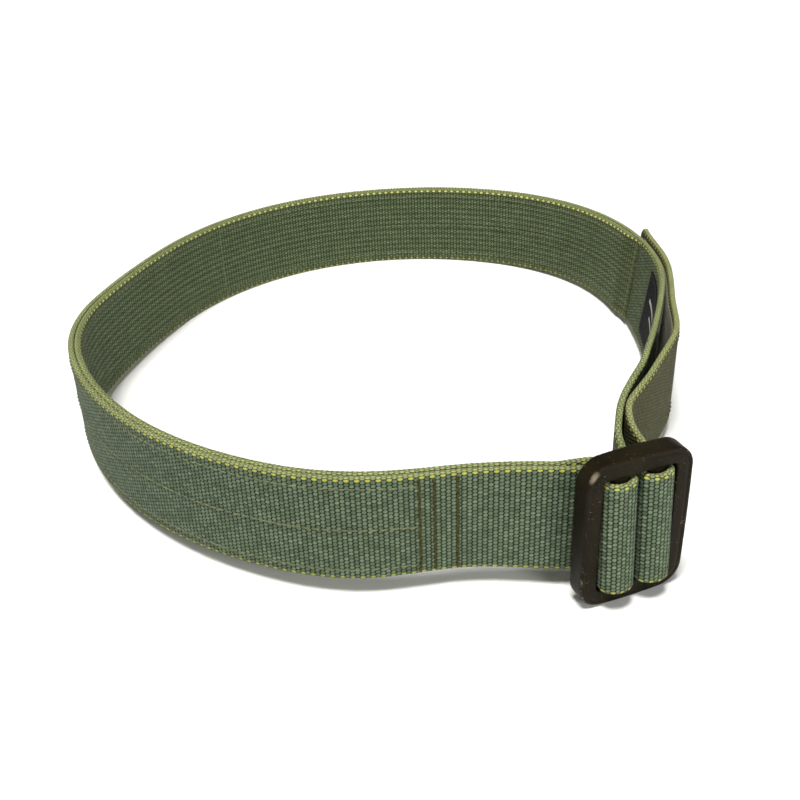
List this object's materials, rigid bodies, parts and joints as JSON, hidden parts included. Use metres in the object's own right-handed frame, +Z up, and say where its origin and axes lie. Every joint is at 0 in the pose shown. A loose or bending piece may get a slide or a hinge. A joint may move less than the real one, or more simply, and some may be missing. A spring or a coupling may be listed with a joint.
{
  "type": "webbing_belt_strap",
  "caption": "Green webbing strap closed in a loop on its edge, with a dark two-bar friction buckle, sewn double ply and a hook-and-loop tail",
  "frame": {"origin": "Middle of the bounding box in X and Y, on the surface the standing belt touches", "axes": "+X is across the loop, to the buckle's right. +Y is the long way across the loop, away from the buckle. +Z is up, along the loop's own axis and the webbing's width."},
  "size_m": [0.28, 0.3156, 0.06],
  "materials": {
    "webbing": "matte",
    "webbing_liner": "matte",
    "buckle_metal": "satin",
    "grip_tape": "matte",
    "thread": "satin",
    "label": "matte"
  },
  "bodies": {
    "belt": {"end_leg_front": "webbing", "end_leg_back": "webbing", "end_tab": "webbing", "outer_web": "webbing", "inner_web": "webbing_liner", "running_strap": "webbing", "slot_strap": "webbing", "tail_root": "webbing", "loop_strip": "grip_tape", "label_patch": "label", "label_stitching": "thread", "end_seam_near": "thread", "end_seam_middle": "thread", "end_seam_far": "thread", "liner_seam_end": "thread", "liner_seam_top": "thread", "liner_seam_middle": "thread", "liner_seam_bottom": "thread", "loop_seam_start": "thread", "loop_seam_top": "thread", "loop_seam_middle": "thread", "loop_seam_bottom": "thread"},
    "buckle": {"buckle_frame": "buckle_metal", "fixed_bar": "buckle_metal", "adjuster_bar": "buckle_metal", "fixed_wrap": "webbing", "adjuster_wrap": "webbing"},
    "tail_middle": {"tail_mid": "webbing"},
    "tail_tip": {"tail_end": "webbing", "hook_strip": "grip_tape", "hook_seam_top": "thread", "hook_seam_bottom": "thread", "tail_end_seam": "thread"}
  },
  "joints": [
    {"name": "buckle_swivel", "type": "hinge", "parent": "belt", "child": "buckle", "pos_m": [0.07701, -0.15058, 0.03], "axis": [0, 0, 1], "range_deg": [-12, 12], "deforming": ["end_leg_front", "end_leg_back", "slot_strap", "tail_root"]},
    {"name": "tail_peel", "type": "hinge", "parent": "belt", "child": "tail_middle", "pos_m": [0.0925, -0.0978, 0.03], "axis": [0, 0, -1], "range_deg": [0, 75]},
    {"name": "tail_tip_peel", "type": "hinge", "parent": "tail_middle", "child": "tail_tip", "pos_m": [0.118, -0.0535, 0.03], "axis": [0, 0, -1], "range_deg": [0, 90]}
  ]
}
